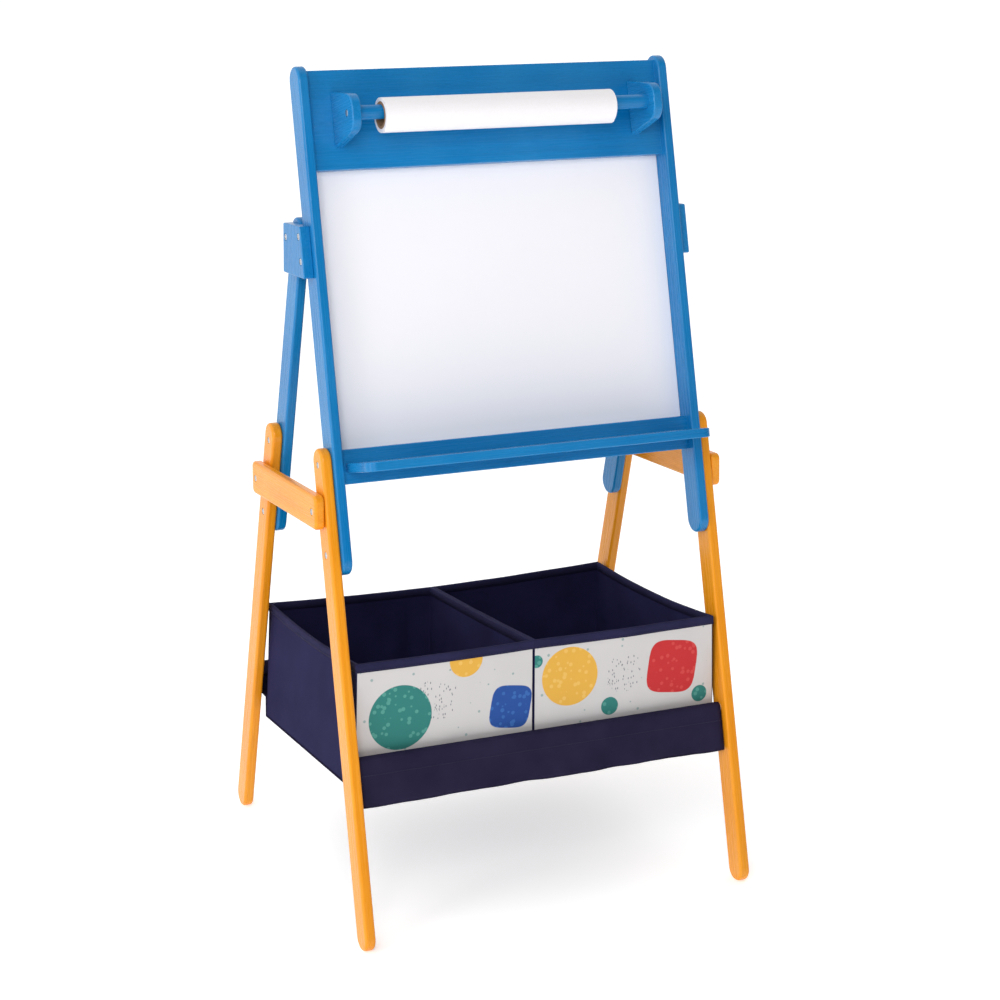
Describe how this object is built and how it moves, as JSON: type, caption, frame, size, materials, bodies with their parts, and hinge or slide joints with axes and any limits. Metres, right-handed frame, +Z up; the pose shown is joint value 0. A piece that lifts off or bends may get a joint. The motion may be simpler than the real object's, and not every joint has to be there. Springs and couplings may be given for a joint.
{
  "type": "kids easel",
  "caption": "Wooden A-frame children's easel with a whiteboard, paper roll, tray and two fabric bins in a sling between its legs.",
  "frame": {"origin": "floor level, midway between the front and rear feet and between the two sides", "axes": "+X across the easel to the right as its user faces the whiteboard, -Y out of the whiteboard towards the user, +Z up"},
  "size_m": [0.605, 0.544, 1.1279],
  "materials": {
    "blue_paint": "satin blue lacquer on pine",
    "yellow_paint": "satin yellow-orange lacquer on pine",
    "bare_beech": "plain sanded",
    "whiteboard": "gloss wipe-clean coating on thin hardboard",
    "chalkboard": "matt chalkboard coating on thin hardboard",
    "steel": "zinc plated",
    "brass": "plain",
    "paper": "plain drawing paper",
    "card": "grey-brown card",
    "bin_cloth": "non-woven cloth over card",
    "sling_cloth": "woven polyester cloth"
  },
  "bodies": {
    "front_frame": {"bottom_rail": "blue_paint", "bracket_screws": "steel", "chalkboard": "chalkboard", "crossbar_inserts": "brass", "dowel_screws": "steel", "frame_pins": "bare_beech", "front_leg_bolts": "steel", "header_board": "blue_paint", "hinge_block_left": "blue_paint", "hinge_block_right": "blue_paint", "hinge_screws": "steel", "lower_leg_front_left": "yellow_paint", "lower_leg_front_right": "yellow_paint", "panel_screws": "steel", "pivot_bolts": "steel", "pivot_nuts": "steel", "roll_bracket_left": "blue_paint", "roll_bracket_right": "blue_paint", "roll_dowel": "blue_paint", "sling_bar_front": "bare_beech", "stile_left": "blue_paint", "stile_right": "blue_paint", "storage_sling": "sling_cloth", "tray": "blue_paint", "tray_screws": "steel", "whiteboard": "whiteboard"},
    "rear_frame": {"rear_leg_left": "blue_paint", "rear_leg_right": "blue_paint", "lower_leg_rear_left": "yellow_paint", "lower_leg_rear_right": "yellow_paint", "rear_leg_bolts": "steel", "crossbar_pivots": "steel", "sling_bar_rear": "bare_beech"},
    "crossbar_left": {"crossbar_left": "yellow_paint", "crossbar_bolt_left": "steel"},
    "crossbar_right": {"crossbar_right": "yellow_paint", "crossbar_bolt_right": "steel"},
    "paper_roll": {"paper_roll": "paper", "roll_core": "card"},
    "bin_left": {"bin_left": "bin_cloth", "bin_base_left": "card"},
    "bin_right": {"bin_right": "bin_cloth", "bin_base_right": "card"}
  },
  "joints": [
    {"name": "rear_fold", "type": "hinge", "parent": "front_frame", "child": "rear_frame", "pos_m": [0, 0.02908, 0.90197], "axis": [1, 0, 0], "range_deg": [-28.83, 0], "deforming": ["storage_sling", "bin_left", "bin_right", "bin_base_left", "bin_base_right"]},
    {"name": "crossbar_left_swing", "type": "hinge", "parent": "rear_frame", "child": "crossbar_left", "pos_m": [-0.288, 0.12185, 0.54524], "axis": [1, 0, 0], "range_deg": [0, 107.64]},
    {"name": "crossbar_right_swing", "type": "hinge", "parent": "rear_frame", "child": "crossbar_right", "pos_m": [0.288, 0.12185, 0.54524], "axis": [1, 0, 0], "range_deg": [0, 107.64]},
    {"name": "roll_spin", "type": "hinge", "parent": "front_frame", "child": "paper_roll", "pos_m": [-0.011, -0.04211, 1.06847], "axis": [1, 0, 0], "continuous": true},
    {"name": "bin_left_lift", "type": "slide", "parent": "front_frame", "child": "bin_left", "axis": [0, 0, 1], "range_m": [0, 0.1]},
    {"name": "bin_right_lift", "type": "slide", "parent": "front_frame", "child": "bin_right", "axis": [0, 0, 1], "range_m": [0, 0.1]}
  ],
  "couplings": [
    {"joint": "crossbar_left_swing", "follows": "rear_fold", "ratio": -3.733},
    {"joint": "crossbar_right_swing", "follows": "rear_fold", "ratio": -3.733}
  ]
}
